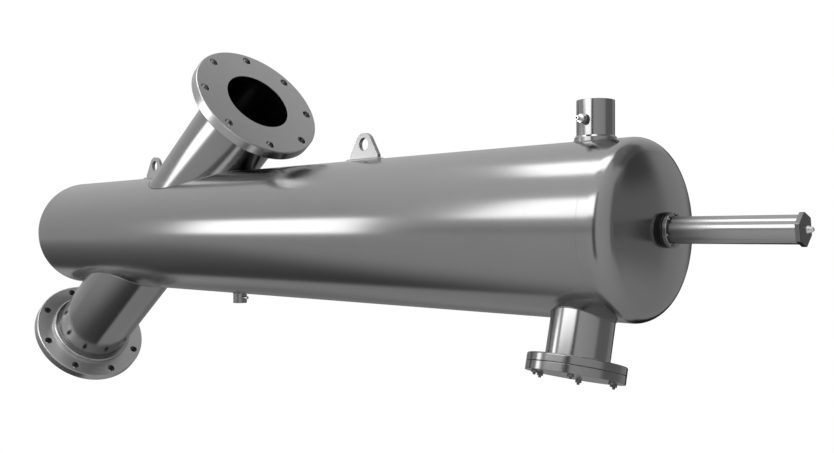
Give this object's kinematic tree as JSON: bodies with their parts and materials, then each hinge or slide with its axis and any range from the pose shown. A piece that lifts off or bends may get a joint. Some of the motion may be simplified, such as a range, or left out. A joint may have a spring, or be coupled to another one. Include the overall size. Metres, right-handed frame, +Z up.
{
  "type": "self cleaning filter",
  "caption": "Horizontal stainless pressure vessel with slanted flanged nozzles, a fine screen inside, and a piston-driven suction collector that sweeps it clean.",
  "frame": {"origin": "centre of the inlet flange's face", "axes": "+X along the vessel towards the piston drive, +Z up, -Y the front"},
  "size_m": [2.4518, 0.3428, 0.9539],
  "materials": {
    "polished_stainless": "polished stainless steel",
    "dark_steel": "blackened steel",
    "fastener_steel": "turned stainless steel",
    "fitting_steel": "bright drawn steel",
    "black_rubber": "moulded rubber",
    "bearing_plastic": "machined bearing plastic",
    "screen_steel": "woven and welded stainless steel",
    "inner_stainless": "mill finish stainless steel"
  },
  "bodies": {
    "vessel": {"shell": "polished_stainless", "closed_end_head": "polished_stainless", "drive_end_head": "polished_stainless", "outlet_nozzle_pipe": "polished_stainless", "outlet_flange": "polished_stainless", "inlet_nozzle_pipe": "polished_stainless", "inlet_flange": "polished_stainless", "lifting_lug_near": "polished_stainless", "lug_pad_near": "polished_stainless", "lifting_lug_far": "polished_stainless", "lug_pad_far": "polished_stainless", "flush_port_pipe": "polished_stainless", "flush_port_collar": "polished_stainless", "sample_boss": "fitting_steel", "sample_fitting": "fitting_steel", "hatch_neck": "polished_stainless", "hatch_flange": "polished_stainless", "hatch_gasket_ring": "black_rubber", "hatch_cover": "polished_stainless", "hatch_studs": "fastener_steel", "hatch_nuts": "fastener_steel", "drain_coupling": "polished_stainless", "bleed_nipple": "fitting_steel", "inlet_bulkhead": "inner_stainless", "motor_bulkhead": "inner_stainless", "fine_screen": "screen_steel", "screen_cage": "screen_steel", "inlet_screen_seal": "black_rubber", "motor_screen_seal": "black_rubber", "guide_spider": "inner_stainless", "guide_bush": "bearing_plastic", "motor_bulkhead_bush": "bearing_plastic", "gland_base_ring": "dark_steel", "rod_seal": "black_rubber", "gland_gasket": "black_rubber", "gland_front_ring": "dark_steel", "gland_screws": "fastener_steel", "piston_housing": "polished_stainless", "end_cap": "dark_steel", "end_cap_seal": "black_rubber", "control_nipple": "fitting_steel"},
    "carriage": {"piston": "inner_stainless", "piston_rings": "black_rubber", "piston_rod": "inner_stainless", "thrust_collars": "inner_stainless"},
    "collector": {"collector_tube": "inner_stainless", "collector_plug": "inner_stainless", "suction_nozzle_1": "inner_stainless", "suction_nozzle_2": "inner_stainless", "suction_nozzle_3": "inner_stainless", "suction_nozzle_4": "inner_stainless", "suction_nozzle_5": "inner_stainless", "suction_nozzle_6": "inner_stainless", "suction_nozzle_7": "inner_stainless", "suction_nozzle_8": "inner_stainless", "motor_hub": "inner_stainless", "motor_arm_1": "inner_stainless", "motor_arm_2": "inner_stainless", "thrust_plug": "inner_stainless"}
  },
  "joints": [
    {"name": "scan_travel", "type": "slide", "parent": "vessel", "child": "carriage", "axis": [1, 0, 0], "range_m": [0, 0.155]},
    {"name": "collector_spin", "type": "hinge", "parent": "carriage", "child": "collector", "pos_m": [1.89993, 0, 0.33855], "axis": [1, 0, 0], "continuous": true}
  ]
}
